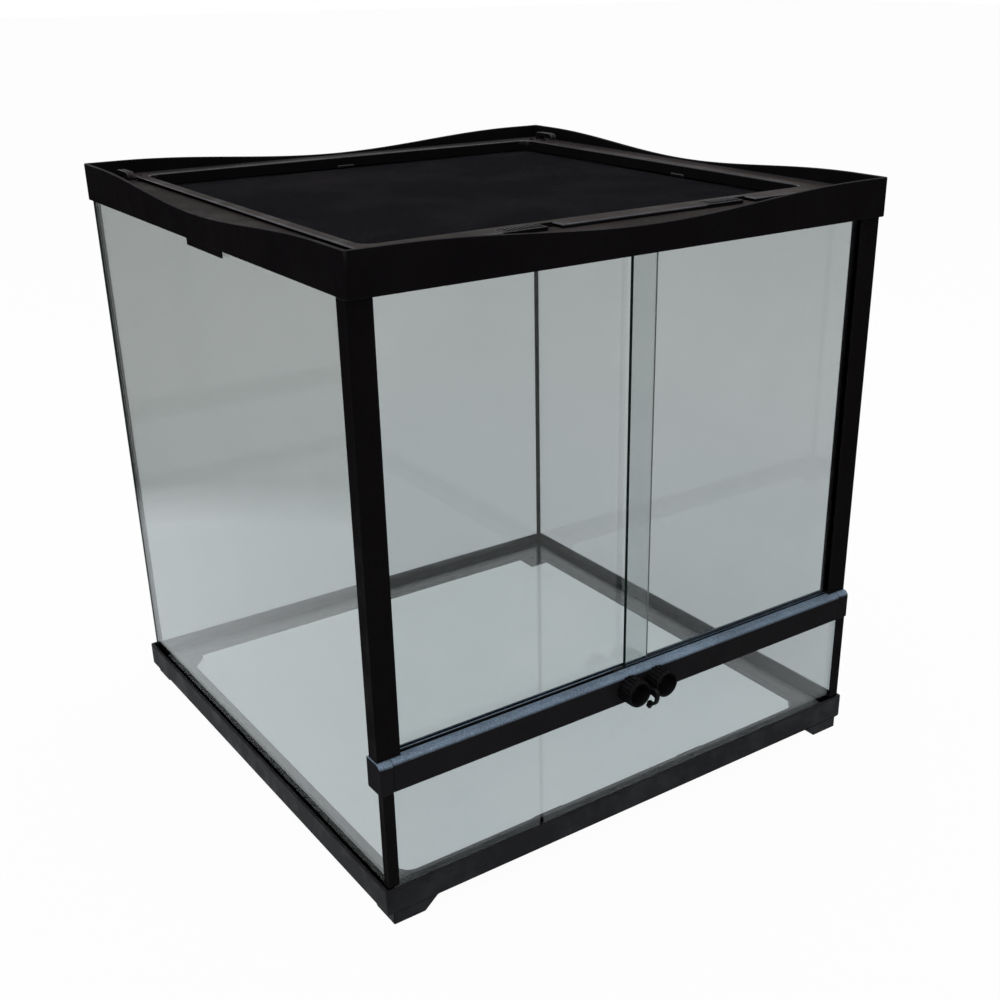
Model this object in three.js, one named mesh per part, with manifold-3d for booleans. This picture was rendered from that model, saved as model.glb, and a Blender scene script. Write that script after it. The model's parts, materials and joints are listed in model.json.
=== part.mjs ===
// Glass terrarium cabinet with sliding doors, turning door locks and a hinged mesh lid.
// Millimetres. X runs to the right, Y to the back, Z up; the feet stand on Z = 0.
import * as THREE from 'three';
import { mergeVertices } from 'three/addons/utils/BufferGeometryUtils.js';
import Module from 'manifold-3d';

const wasm = await Module();
wasm.setup();

// Overall sizes
const frameWidth = 460;            // top frame, left to right
const frameDepth = 460;            // top frame, front to back
const cabinetHeight = 481;         // floor to the raised corners of the top frame
const gap = 0.3;                   // clearance between pieces that touch
const frameWall = 2.5;             // wall of both frames
const frameCornerRadius = 2;
const ledgeThickness = 2.2;        // inner ledges of both frames
const over = 1;                    // how far a cutting solid runs past what it cuts
const merge = 0.5;                 // how far joined forms run into each other

// Lower frame
const baseOverhang = 1.8;          // beyond the top frame, on each side
const footHeight = 10.5;
const footLength = 26;             // along X at the floor
const footDepth = 25.5;            // along Y at the floor
const footSlope = 12;              // how far the inner flanks run out towards the rim
const footSideInset = 5;
const footEndInset = 0.7;
const baseRimHeight = 20.5;        // above the feet
const baseLedgeDrop = 13.3;        // rim top down to the ledge
const baseLedgeWidth = 23.8;       // from the outer face
const baseTabLength = 27;
const baseTabReach = 3.5;
const baseTabSpacing = 147;        // between the two tabs of one side
const baseLipReach = 4.5;          // lower lip, inwards beyond the ledge
const baseLipDrop = 1.7;           // ledge top down to the lip's
const baseLipLap = 2;              // how far the lip runs under the ledge
const baseLipCorner = 12;          // round corners of the lip's opening

// Glass
const glassInset = 2.8;            // outer face of the walls, in from the frames
const wallGlass = 4;
const floorGlass = 5;
const doorGlass = 3;
const sealLeg = 3.2;               // silicone fillets in the corners
const sealBow = 0.32;              // share of the leg where the fillet's face bows in

// Door rail across the front
const railBottom = 110;
const railHeight = 24;
const railWall = 2;
const railRound = 4.5;             // rounded top front edge
const railCapReach = 4;            // inwards, beyond the side glass
const doorPlay = 0.3;              // door glass to each side of its slot
const slotRidge = 1.2;             // between the two slots
const slotDepth = 6.5;
const slotFloor = 1.5;
const railFrontLand = 8.3;         // rail's front face to the front slot
const railLip = 1.5;               // wall behind the rear slot

// Front posts and jambs
const postWidth = 18.9;
const postReach = 11.3;            // side flange, front to back
const postSideInset = 0.7;
const postFrontInset = 4.7;
const postFlange = 1.8;
const cornerStripFront = 9.3;
const cornerStripSide = 6.5;
const cornerStripSideInset = 1.2;
const cornerStripFrontInset = 0.5;
const jambWidth = 12.1;
const jambClearance = 0.5;         // to the door that passes it

// Doors
const leftDoorEdge = 15;           // meeting edges, as X
const rightDoorEdge = -10;
const doorEndClearance = 0.7;      // outer door edge to the rail's cap
const shoeHeight = 7;
const rightShoeLength = 11;
const leftShoeLength = 9;
const upperTrackInset = 1.2;       // above the top frame's lower edge
const upperTrackDepth = 12;
const doorTopEngagement = 5.3;

// Turning locks
const knobSpacing = 26.5;
const knobDrop = 12;               // rail's top down to the axis
const knobRadius = 10.8;
const knobRibs = 20;
const knobRibDepth = 0.9;
const knobRibShare = 0.42;         // part of each pitch that is rib
const knobLength = 14;
const knobRimLength = 1.8;
const knobRimRadius = 10.4;
const knobBore = 8.9;
const knobBackWall = 3;
const spindleRadius = 3;
const spindleCollarRadius = 3.8;
const spindleCollarLength = 1.5;
const runningGap = 0.3;            // spindle in the rail and in the knob
const fingerWidth = 3.2;
const fingerReach = 8;             // height of the raised tip above the axis
const fingerThickness = 3;
const fingerClearance = 0.35;      // raised finger to the door's edge
const screwHeadRadius = 4.4;
const screwHeadLength = 1.8;
const screwSlot = 1;
const screwRadius = 1.2;
const screwLength = 7;

// Padlock hook between the knobs
const hookThickness = 3;
const hookReach = 20;              // forward of the rail

// Top frame
const topFrameHeight = 29.2;       // lower edge to the raised corners
const waveRise = 9.7;              // corners above the middle of each side
const waveEndInset = 30;           // the rise is complete this far from the corner
const waveSteps = 24;
const topLedgeDrop = 11.5;         // raised corners down to the ledge
const skirtThickness = 2.2;        // rib behind the glass
const skirtDepth = 12;
const sideTabLength = 62;
const sideTabDrop = 5.3;
const sideTabLap = 1.5;            // into the frame's wall
const sideTabCentre = -14;

// Lid
const lidSideMargin = 29;          // frame's outer faces to the lid
const lidFrontMargin = 30;
const lidBackMargin = 29;
const lidRimThickness = 2.5;
const lidSideRail = 9.5;
const lidFrontRail = 19.5;
const lidBackRail = 8;
const lidWellDepth = 10;
const lidWellWall = 2;
const lidCornerRadius = 6;
const wellCornerRadius = 10;
const cornerSteps = 6;
const lidLedgeOverlap = 4;
const lidSwingRoom = 1.2;          // round the lid's parts that pass the ledge
const nubLength = 15;              // small stops on the well's walls
const nubSize = 1;
const sideNubCentre = -33;
const endNubCentre = -7;
const meshThickness = 0.8;
const meshMargin = 1.7;            // beyond the well's outer wall
const retainerWidth = 8.2;
const retainerThickness = 1.7;
const hingeSetback = 10;           // lid's back edge to the hinge line
const hingePinRadius = 1.35;
const hingePinReach = 12.5;        // beyond the lid's side
const hingeHookInset = 6.5;        // lid's side to the hook
const hingeHookWidth = 6;
const hingeHookHeight = 9;
const hingeHookLeg = 6;
const hingeHookBar = 3.6;
const hingeHookReach = 18.5;       // forward of the hinge line
const hingeHookLip = 4;
const hingeHookPlay = 0.9;         // pin to the hook's leg

// Lid latches
const latchLefts = [-99, 75.5];    // left end of each pad, as X
const latchLength = 34;
const latchDepth = 10.7;
const latchTravel = 10;
const latchEndRoom = 2;
const latchRibs = 9;
const latchRibPitch = 3.2;
const latchRibWidth = 1.3;
const latchRibHeight = 1;
const latchRibInset = 1.4;
const latchTongue = 2;
const latchTongueThickness = 0.5;
const tongueClearance = 0.2;
const latchShankWidth = 3;
const latchShankLength = 6;
const latchFoot = 8;
const latchFootThickness = 1.8;

// Worked out from the sizes above
const halfWidth = frameWidth / 2;
const halfDepth = frameDepth / 2;
const baseHalfWidth = halfWidth + baseOverhang;
const baseHalfDepth = halfDepth + baseOverhang;
const baseRimTop = footHeight + baseRimHeight;
const baseLedgeTop = baseRimTop - baseLedgeDrop;
const topLedgeTop = cabinetHeight - topLedgeDrop;
const topLedgeUnderside = topLedgeTop - ledgeThickness;
const topFrameBottom = cabinetHeight - topFrameHeight;
const glassBottom = baseLedgeTop + gap;
const glassTop = topLedgeUnderside - gap;
const sideOuter = halfWidth - glassInset;
const sideInner = sideOuter - wallGlass;
const backOuter = halfDepth - glassInset;
const backInner = backOuter - wallGlass;
const floorTop = glassBottom + floorGlass;
const railFront = -halfDepth;
const slotWidth = doorGlass + 2 * doorPlay;
const railTop = railBottom + railHeight;
const railCapEnd = sideInner - railCapReach;
const frontSlot = railFront + railFrontLand;
const rearSlot = frontSlot + slotWidth + slotRidge;
const railBack = rearSlot + slotWidth + railLip;
const slotBottom = railTop - slotDepth;
const frontDoorY = frontSlot + slotWidth / 2;
const rearDoorY = rearSlot + slotWidth / 2;
const postOuter = halfWidth - postSideInset;
const postFront = -halfDepth + postFrontInset;
const postBack = postFront + postFlange;
const doorHalf = railCapEnd - doorEndClearance;
const doorBottom = slotBottom + gap;
const trackTop = glassTop;
const trackBottom = topFrameBottom + upperTrackInset;
const doorTop = trackBottom + doorTopEngagement;
const knobZ = railTop - knobDrop;
const knobX = knobSpacing / 2;
const leftFingerLean = fingerLean(-knobX - rightDoorEdge);
const rightFingerLean = fingerLean(leftDoorEdge - knobX);
const knobFront = railFront - gap - knobLength;
const knobWallFace = railFront - gap - knobBackWall;
const lidHalf = halfWidth - lidSideMargin;
const lidFront = -halfDepth + lidFrontMargin;
const lidBack = halfDepth - lidBackMargin;
const hingeY = lidBack - hingeSetback;
const wellX = lidHalf - lidSideRail;
const wellFront = lidFront + lidFrontRail;
const wellBack = lidBack - lidBackRail;
const lidBottom = topLedgeTop + gap;
const lidTop = lidBottom + lidRimThickness;
const wellBottom = lidTop - lidWellDepth;
const meshTop = wellBottom - gap;
const retainerTop = meshTop - meshThickness - gap;
const meshReach = lidWellWall + meshMargin;
const hingeZ = lidBottom + hingePinRadius;
const latchBack = lidFront + latchDepth;
const latchY = lidFront + latchDepth / 2;
const hookFront = railFront - hookReach;
const cabinetShiftY = (-hookFront - baseHalfDepth) / 2;   // centres the whole depth on Y = 0

// How far a raised finger leans outwards, in radians, to stand just beyond its door's edge.
function fingerLean(edgeOffset) {
  const height = doorBottom - knobZ;
  const towardsEdge = Math.atan2(edgeOffset, height);
  const beyondEdge = Math.asin((fingerWidth / 2 + fingerClearance) / Math.hypot(edgeOffset, height));
  return Math.max(0, towardsEdge + beyondEdge);
}

// Radius that the finger's tip clears as it swings.
function fingerSweep(lean) {
  return Math.hypot(fingerReach / Math.cos(lean), fingerWidth / 2) + runningGap;
}

// Helpers

function toSolid(geometry) {
  geometry.deleteAttribute('normal');
  geometry.deleteAttribute('uv');
  const merged = mergeVertices(geometry, 1e-4);
  return new wasm.Manifold(new wasm.Mesh({
    numProp: 3,
    vertProperties: new Float32Array(merged.attributes.position.array),
    triVerts: new Uint32Array(merged.index.array),
  }));
}

function box(x0, x1, y0, y1, z0, z1) {
  const geometry = new THREE.BoxGeometry(x1 - x0, y1 - y0, z1 - z0);
  geometry.translate((x0 + x1) / 2, (y0 + y1) / 2, (z0 + z1) / 2);
  return toSolid(geometry);
}

function shapeFrom(points) {
  return new THREE.Shape(points.map(([u, v]) => new THREE.Vector2(u, v)));
}

function prism(shape, length) {
  return new THREE.ExtrudeGeometry(shape, { depth: length, bevelEnabled: false, curveSegments: 8 });
}

// A shape drawn in X and Y, standing from z0 to z1.
function upright(shape, z0, z1) {
  return toSolid(prism(shape, z1 - z0).translate(0, 0, z0));
}

// A shape drawn in Y and Z, running from x0 to x1.
function alongX(shape, x0, x1) {
  const turn = new THREE.Matrix4().makeBasis(
    new THREE.Vector3(0, 1, 0), new THREE.Vector3(0, 0, 1), new THREE.Vector3(1, 0, 0));
  return toSolid(prism(shape, x1 - x0).applyMatrix4(turn).translate(x0, 0, 0));
}

// A shape drawn in X and Z, running from y0 to y1.
function alongY(shape, y0, y1) {
  const turn = new THREE.Matrix4().makeBasis(
    new THREE.Vector3(1, 0, 0), new THREE.Vector3(0, 0, 1), new THREE.Vector3(0, -1, 0));
  return toSolid(prism(shape, y1 - y0).applyMatrix4(turn).translate(0, y1, 0));
}

// A profile of [radius, y] pairs turned about the Y axis.
function turned(profile, segments) {
  return toSolid(new THREE.LatheGeometry(profile.map(([r, y]) => new THREE.Vector2(r, y)), segments));
}

function disc(radius, y0, y1, segments) {
  return turned([[0, y0], [radius, y0], [radius, y1], [0, y1]], segments);
}

// A rectangle with round corners, as points for a shape.
function roundedOutline(x0, x1, y0, y1, radius, steps) {
  const points = [];
  const corners = [[x1 - radius, y1 - radius], [x0 + radius, y1 - radius],
    [x0 + radius, y0 + radius], [x1 - radius, y0 + radius]];
  corners.forEach(([cx, cy], index) => {
    for (let step = 0; step <= steps; step += 1) {
      const angle = (index + step / steps) * Math.PI / 2;
      points.push([cx + radius * Math.cos(angle), cy + radius * Math.sin(angle)]);
    }
  });
  return points;
}

function union(solids) {
  return solids.reduce((sum, solid) => sum.add(solid));
}

function toMesh(name, solid, material) {
  const { numProp, vertProperties, triVerts } = solid.getMesh();
  const positions = new Float32Array(vertProperties.length / numProp * 3);
  for (let vertex = 0; vertex < positions.length / 3; vertex += 1) {
    for (let axis = 0; axis < 3; axis += 1) {
      positions[vertex * 3 + axis] = vertProperties[vertex * numProp + axis];
    }
  }
  const geometry = new THREE.BufferGeometry();
  geometry.setAttribute('position', new THREE.BufferAttribute(positions, 3));
  geometry.setIndex(new THREE.BufferAttribute(new Uint32Array(triVerts), 1));
  geometry.computeVertexNormals();
  const mesh = new THREE.Mesh(geometry, material);
  mesh.name = name;
  return mesh;
}

// Materials
const plastic = new THREE.MeshStandardMaterial({ color: 0x17171a, roughness: 0.5, metalness: 0 });
const glossPlastic = new THREE.MeshStandardMaterial({ color: 0x141416, roughness: 0.35, metalness: 0 });
const glass = new THREE.MeshStandardMaterial({
  color: 0xc3d2ce, roughness: 0.03, metalness: 0, transparent: true, opacity: 0.25 });
const silicone = new THREE.MeshStandardMaterial({ color: 0x0f0f10, roughness: 0.6, metalness: 0 });
const meshCloth = new THREE.MeshStandardMaterial({ color: 0x2b2b2d, roughness: 0.6, metalness: 0.3 });
const steel = new THREE.MeshStandardMaterial({ color: 0x9a9c9e, roughness: 0.35, metalness: 1 });

// Lower frame: rim, ledge with tabs, a lip under the ledge, four feet

function foot(sideX, sideY) {
  const outerX = baseHalfWidth - footSideInset;
  const outerY = baseHalfDepth - footEndInset;
  const innerX = outerX - footLength;
  const innerY = outerY - footDepth;
  const top = baseLedgeTop - ledgeThickness + merge;
  const acrossX = shapeFrom([[innerX, 0], [outerX, 0], [outerX, top],
    [innerX - footSlope, top], [innerX - footSlope, footHeight]]);
  const acrossY = shapeFrom([[innerY, 0], [outerY, 0], [outerY, top],
    [innerY - footSlope, top], [innerY - footSlope, footHeight]]);
  const solid = alongY(acrossX, 0, baseHalfDepth).intersect(alongX(acrossY, 0, baseHalfWidth));
  return solid.scale([sideX, sideY, 1]);
}

function baseTabs() {
  const tabs = [];
  const innerX = baseHalfWidth - baseLedgeWidth;
  const innerY = baseHalfDepth - baseLedgeWidth;
  const z0 = baseLedgeTop - ledgeThickness;
  for (const side of [-1, 1]) {
    for (const along of [-baseTabSpacing / 2, baseTabSpacing / 2]) {
      const low = along - baseTabLength / 2;
      const high = along + baseTabLength / 2;
      const xs = [side * (innerX - baseTabReach), side * (innerX + merge)].sort((a, b) => a - b);
      const ys = [side * (innerY - baseTabReach), side * (innerY + merge)].sort((a, b) => a - b);
      tabs.push(box(xs[0], xs[1], low, high, z0, baseLedgeTop));
      tabs.push(box(low, high, ys[0], ys[1], z0, baseLedgeTop));
    }
  }
  return tabs;
}

function baseFrame() {
  const outer = roundedOutline(-baseHalfWidth, baseHalfWidth, -baseHalfDepth, baseHalfDepth,
    frameCornerRadius, 4);
  const rim = upright(shapeFrom(outer), footHeight, baseRimTop);
  const innerX = baseHalfWidth - frameWall;
  const innerY = baseHalfDepth - frameWall;
  const above = box(-innerX, innerX, -innerY, innerY, baseLedgeTop, baseRimTop + over);
  const below = box(-innerX, innerX, -innerY, innerY, footHeight - over, baseLedgeTop - ledgeThickness);
  const openX = baseHalfWidth - baseLedgeWidth;
  const openY = baseHalfDepth - baseLedgeWidth;
  const opening = box(-openX, openX, -openY, openY, 0, baseRimTop);
  const lipX = openX - baseLipReach;
  const lipY = openY - baseLipReach;
  const lipTop = baseLedgeTop - baseLipDrop;
  const lip = box(-openX - baseLipLap, openX + baseLipLap, -openY - baseLipLap, openY + baseLipLap,
    lipTop - ledgeThickness, lipTop);
  const extras = [lip, ...baseTabs()];
  for (const sideX of [-1, 1]) {
    for (const sideY of [-1, 1]) extras.push(foot(sideX, sideY));
  }
  const lipOutline = roundedOutline(-lipX, lipX, -lipY, lipY, baseLipCorner, cornerSteps);
  const lipOpening = upright(shapeFrom(lipOutline), -over, baseRimTop);
  return rim.subtract(above).subtract(below).subtract(opening).add(union(extras)).subtract(lipOpening);
}

// Glazing

const sideFront = postBack + gap;     // front end of the side panes

function floorPane() {
  const x = sideInner - gap;
  const y = backInner - gap;
  return box(-x, x, -y, y, glassBottom, floorTop);
}

function sidePane(side) {
  const solid = box(sideInner, sideOuter, sideFront, backInner - gap, glassBottom, glassTop);
  return side > 0 ? solid : solid.scale([-1, 1, 1]);
}

function backPane() {
  return box(-sideOuter, sideOuter, backInner, backOuter, glassBottom, glassTop);
}

function frontPane() {
  const x = sideInner - gap;
  return box(-x, x, -backOuter, -backInner, glassBottom, railBottom - gap);
}

// Cross-section of a silicone fillet whose corner is at 0, 0.
function filletShape() {
  const shape = new THREE.Shape();
  shape.moveTo(0, 0);
  shape.lineTo(sealLeg, 0);
  shape.quadraticCurveTo(sealLeg * sealBow, sealLeg * sealBow, 0, sealLeg);
  shape.closePath();
  return shape;
}

function cornerSeal(side) {
  const z0 = floorTop + gap + sealLeg + gap;
  const solid = upright(filletShape(), z0, topLedgeUnderside - skirtDepth - gap)
    .scale([-1, -1, 1])
    .translate([sideInner - gap, backInner - gap, 0]);
  return side > 0 ? solid : solid.scale([-1, 1, 1]);
}

function floorSealSide(side) {
  const solid = alongY(filletShape(), -backInner + gap, backInner - gap)
    .scale([-1, 1, 1])
    .translate([sideInner - gap, 0, floorTop + gap]);
  return side > 0 ? solid : solid.scale([-1, 1, 1]);
}

function floorSealEnd(side) {
  const x = sideInner - gap - sealLeg - gap;
  const solid = alongX(filletShape(), -x, x)
    .scale([1, -1, 1])
    .translate([0, backInner - gap, floorTop + gap]);
  return side > 0 ? solid : solid.scale([1, -1, 1]);
}

// Door rail

// Outline of the rail's section in Y and Z; the slots are left out for the end caps.
function railSection(withSlots) {
  const shape = new THREE.Shape();
  shape.moveTo(railFront, railBottom);
  shape.lineTo(railBack, railBottom);
  shape.lineTo(railBack, railTop);
  if (withSlots) {
    for (const start of [rearSlot, frontSlot]) {
      shape.lineTo(start + slotWidth, railTop);
      shape.lineTo(start + slotWidth, slotBottom);
      shape.lineTo(start, slotBottom);
      shape.lineTo(start, railTop);
    }
  }
  shape.lineTo(railFront + railRound, railTop);
  shape.absarc(railFront + railRound, railTop - railRound, railRound, Math.PI / 2, Math.PI, false);
  shape.closePath();
  return shape;
}

// The closed chamber under and in front of the slots.
function railChamber() {
  const hole = new THREE.Path();
  const front = railFront + railWall;
  const top = railTop - slotFloor;
  const underSlots = slotBottom - slotFloor;
  const step = frontSlot - railLip;
  const round = railRound - railWall;
  hole.moveTo(front, railBottom + railWall);
  hole.lineTo(railBack - railLip, railBottom + railWall);
  hole.lineTo(railBack - railLip, underSlots);
  hole.lineTo(step, underSlots);
  hole.lineTo(step, top);
  hole.lineTo(front + round, top);
  hole.lineTo(front, top - round);
  hole.closePath();
  return hole;
}

function doorRail() {
  const section = railSection(true);
  section.holes.push(railChamber());
  const end = railCapEnd - gap;
  let solid = alongX(section, -end, end);
  const locks = [[-1, frontSlot, leftFingerLean], [1, rearSlot, rightFingerLean]];
  for (const [side, slot, lean] of locks) {
    const holeRadius = spindleRadius + runningGap;
    const hole = disc(holeRadius, railFront - over, railFront + railWall + over, 24)
      .translate([side * knobX, 0, knobZ]);
    const reach = side * (knobX + fingerSweep(lean));
    const near = side * (knobX - fingerWidth / 2 - gap);
    const window = box(Math.min(reach, near), Math.max(reach, near), slot, slot + slotWidth,
      slotBottom - slotFloor - over / 2, slotBottom + over / 2);
    solid = solid.subtract(hole).subtract(window);
  }
  return solid;
}

function railCap(side) {
  const solid = alongX(railSection(false), railCapEnd, halfWidth);
  const notch = box(sideInner - gap, sideOuter + gap, sideFront - gap, railBack + over,
    railBottom - over, railTop + over);
  const cut = solid.subtract(notch);
  return side > 0 ? cut : cut.scale([-1, 1, 1]);
}

function upperTrack() {
  const front = frontSlot - railLip;
  const points = [[front, trackBottom]];
  for (const start of [frontSlot, rearSlot]) {
    points.push([start, trackBottom], [start, trackBottom + upperTrackDepth],
      [start + slotWidth, trackBottom + upperTrackDepth], [start + slotWidth, trackBottom]);
  }
  points.push([railBack, trackBottom], [railBack, trackTop], [front, trackTop]);
  const x = sideInner - gap;
  return alongX(shapeFrom(points), -x, x);
}

// Posts, jambs and corner strips

function frontPost(side) {
  const inner = postOuter - postWidth;
  const wrap = sideOuter + gap;
  const section = shapeFrom([[inner, postFront], [postOuter, postFront],
    [postOuter, postFront + postReach], [wrap, postFront + postReach], [wrap, postBack], [inner, postBack]]);
  const shaft = upright(section, railTop + gap, topFrameBottom - gap);
  const tongue = box(inner, sideOuter - gap, postFront, postBack, topFrameBottom - over, glassTop);
  const solid = shaft.add(tongue);
  return side > 0 ? solid : solid.scale([-1, 1, 1]);
}

// Each jamb fills the track that the door on its side doesn't use.
function jamb(side) {
  const y0 = side > 0 ? frontDoorY + doorGlass / 2 + jambClearance : postBack + gap;
  const y1 = side > 0 ? railBack - railLip : rearDoorY - doorGlass / 2 - jambClearance;
  const x = sideInner - gap;
  const solid = box(x - jambWidth, x, y0, y1, railTop + gap, trackBottom - gap);
  return side > 0 ? solid : solid.scale([-1, 1, 1]);
}

function cornerStrip(side) {
  const outerX = halfWidth - cornerStripSideInset;
  const outerY = -halfDepth + cornerStripFrontInset;
  const innerX = sideOuter + gap;
  const innerY = -backOuter - gap;
  const section = shapeFrom([[outerX - cornerStripFront, outerY], [outerX, outerY],
    [outerX, outerY + cornerStripSide], [innerX, outerY + cornerStripSide], [innerX, innerY],
    [outerX - cornerStripFront, innerY]]);
  const solid = upright(section, baseRimTop + gap, railBottom - gap);
  return side > 0 ? solid : solid.scale([-1, 1, 1]);
}

// Sliding doors

function leftDoor() {
  return box(-doorHalf, leftDoorEdge, rearDoorY - doorGlass / 2, rearDoorY + doorGlass / 2,
    doorBottom, doorTop);
}

function rightDoor() {
  return box(rightDoorEdge, doorHalf, frontDoorY - doorGlass / 2, frontDoorY + doorGlass / 2,
    doorBottom, doorTop);
}

// Plastic shoe at a door's lower meeting corner, hollowed where the lock's finger swings.
function doorShoe(side, edge, length, y, lean) {
  const near = edge + side * gap;
  const far = near + side * length;
  const block = box(Math.min(near, far), Math.max(near, far), y - doorGlass / 2, y + doorGlass / 2,
    doorBottom, doorBottom + shoeHeight);
  const sweep = disc(fingerSweep(lean) + gap, y - doorGlass, y + doorGlass, 48)
    .translate([side * knobX, 0, knobZ]);
  return block.subtract(sweep);
}

// Turning locks, modelled on an axis at X = 0, Z = 0

function knob() {
  const points = [];
  const pitch = Math.PI * 2 / knobRibs;
  for (let rib = 0; rib < knobRibs; rib += 1) {
    const valley = knobRadius - knobRibDepth;
    const marks = [[-0.5, valley], [-knobRibShare / 2 - 0.08, valley], [-knobRibShare / 2, knobRadius],
      [knobRibShare / 2, knobRadius], [knobRibShare / 2 + 0.08, valley]];
    for (const [share, radius] of marks) {
      const angle = (rib + share) * pitch;
      points.push([radius * Math.cos(angle), radius * Math.sin(angle)]);
    }
  }
  const ribbed = alongY(shapeFrom(points), knobFront + knobRimLength, railFront - gap);
  const rim = disc(knobRimRadius, knobFront, knobFront + knobRimLength + merge, 48);
  const hollow = disc(knobBore, knobFront - over, knobWallFace, 48);
  const hole = disc(spindleRadius + runningGap, knobWallFace - over, railFront, 24);
  return ribbed.add(rim).subtract(hollow).subtract(hole);
}

// The finger lies sideways at rest; a quarter turn of the knob raises it into its slot.
function spindle(side, slotY, lean) {
  const back = slotY + fingerThickness / 2;
  const front = knobWallFace + gap;
  const collarFront = railFront + railWall + gap;
  const shaft = disc(spindleRadius, front, back, 24);
  const collar = disc(spindleCollarRadius, collarFront, collarFront + spindleCollarLength, 24);
  const bore = disc(screwRadius + gap, front - over, front + screwLength + over, 16);
  const length = fingerReach / Math.cos(lean);
  const half = fingerWidth / 2;
  const bar = new THREE.Shape();
  bar.moveTo(-half, 0);
  bar.lineTo(half, 0);
  bar.lineTo(half, length - half);
  bar.absarc(0, length - half, half, 0, Math.PI, false);
  bar.closePath();
  const turnDegrees = side * (90 + THREE.MathUtils.radToDeg(lean));
  const finger = alongY(bar, back - fingerThickness, back).rotate([0, turnDegrees, 0]);
  return union([shaft, collar, finger]).subtract(bore);
}

function lockScrew() {
  const face = knobWallFace - gap;
  const head = turned([[0, face - screwHeadLength], [screwHeadRadius * 0.7, face - screwHeadLength],
    [screwHeadRadius, face - screwHeadLength * 0.4], [screwHeadRadius, face], [0, face]], 24);
  const shank = disc(screwRadius, face - merge, face + screwLength, 12);
  const slot = box(-screwHeadRadius, screwHeadRadius, face - screwHeadLength - over,
    face - screwHeadLength / 2, -screwSlot / 2, screwSlot / 2);
  return head.add(shank).subtract(slot);
}

// A flat hook in the plane between the knobs; a padlock's shackle goes through its eye.
function padlockHook() {
  const root = railFront - gap;
  const shape = new THREE.Shape();
  shape.moveTo(root, knobZ - 1);
  shape.lineTo(hookFront + 4, knobZ + 1.5);
  shape.quadraticCurveTo(hookFront, knobZ + 1, hookFront, knobZ - 4);
  shape.quadraticCurveTo(hookFront + 0.5, knobZ - 12.5, hookFront + 8, knobZ - 14.3);
  shape.lineTo(hookFront + 9.2, knobZ - 18);
  shape.lineTo(hookFront + 13, knobZ - 16.8);
  shape.lineTo(hookFront + 11.2, knobZ - 11.6);
  shape.lineTo(hookFront + 8, knobZ - 11.6);
  shape.quadraticCurveTo(hookFront + 3.2, knobZ - 10.6, hookFront + 3, knobZ - 5.6);
  shape.lineTo(hookFront + 6, knobZ - 4.6);
  shape.lineTo(root - 4, knobZ - 6.5);
  shape.lineTo(root, knobZ - 6.5);
  shape.closePath();
  return alongX(shape, -hookThickness / 2, hookThickness / 2);
}

// Top frame

// The wavy top edge of a wall that is 2 * half long, as a section to cut the frame with.
function waveShape(half) {
  const points = [[-half - over, 0], [half + over, 0]];
  const reach = half - waveEndInset;
  points.push([half + over, cabinetHeight]);
  for (let step = waveSteps; step >= -waveSteps; step -= 1) {
    const t = step / waveSteps;
    const rise = waveRise * (1 - Math.cos(Math.PI * t)) / 2;
    points.push([reach * t, cabinetHeight - waveRise + rise]);
  }
  points.push([-half - over, cabinetHeight]);
  return shapeFrom(points);
}

function keyhole(left) {
  const centre = left + latchLength / 2;
  const half = latchFoot / 2 + gap;
  const narrow = latchShankWidth / 2 + gap;
  const entry = box(centre - half, centre + half, latchY - half, latchY + half,
    topLedgeUnderside - over, topLedgeTop + over);
  const run = box(centre, centre + latchTravel + latchShankLength / 2 + gap,
    latchY - narrow, latchY + narrow, topLedgeUnderside - over, topLedgeTop + over);
  return entry.add(run);
}

function topFrame() {
  const outer = roundedOutline(-halfWidth, halfWidth, -halfDepth, halfDepth, frameCornerRadius, 4);
  const block = upright(shapeFrom(outer), topFrameBottom, cabinetHeight + over);
  const innerX = halfWidth - frameWall;
  const innerY = halfDepth - frameWall;
  const below = box(-innerX, innerX, -innerY, innerY, topFrameBottom - over, topLedgeUnderside);
  const above = box(-innerX, innerX, -innerY, innerY, topLedgeTop, cabinetHeight + 2 * over);
  const openX = lidHalf - lidLedgeOverlap;
  const openFront = wellFront - meshReach - lidSwingRoom;
  const swingX = lidHalf + lidSwingRoom;
  const swingReach = lidBack - hingeY + lidSwingRoom;
  const opening = box(-openX, openX, openFront, hingeY, topLedgeUnderside - over, topLedgeTop + over);
  const swing = box(-swingX, swingX, hingeY - swingReach, hingeY + swingReach,
    topLedgeUnderside - over, topLedgeTop + over);
  let solid = block.subtract(below).subtract(above).subtract(opening).subtract(swing);
  for (const left of latchLefts) solid = solid.subtract(keyhole(left));
  solid = solid.intersect(alongY(waveShape(halfWidth), -halfDepth - over, halfDepth + over));
  solid = solid.intersect(alongX(waveShape(halfDepth), -halfWidth - over, halfWidth + over));
  const skirtBottom = topLedgeUnderside - skirtDepth;
  const ribX = sideInner - gap;
  const ribY = backInner - gap;
  const ribFront = railBack + jambClearance;
  const extras = [box(-ribX, ribX, ribY - skirtThickness, ribY, skirtBottom, topLedgeUnderside + merge)];
  for (const side of [-1, 1]) {
    const xs = [side * (ribX - skirtThickness), side * ribX].sort((a, b) => a - b);
    extras.push(box(xs[0], xs[1], ribFront, ribY, skirtBottom, topLedgeUnderside + merge));
    const tabs = [side * (sideOuter + gap), side * (innerX + sideTabLap)].sort((a, b) => a - b);
    extras.push(box(tabs[0], tabs[1], sideTabCentre - sideTabLength / 2, sideTabCentre + sideTabLength / 2,
      topFrameBottom - sideTabDrop, topFrameBottom + sideTabDrop));
  }
  return solid.add(union(extras));
}

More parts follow.
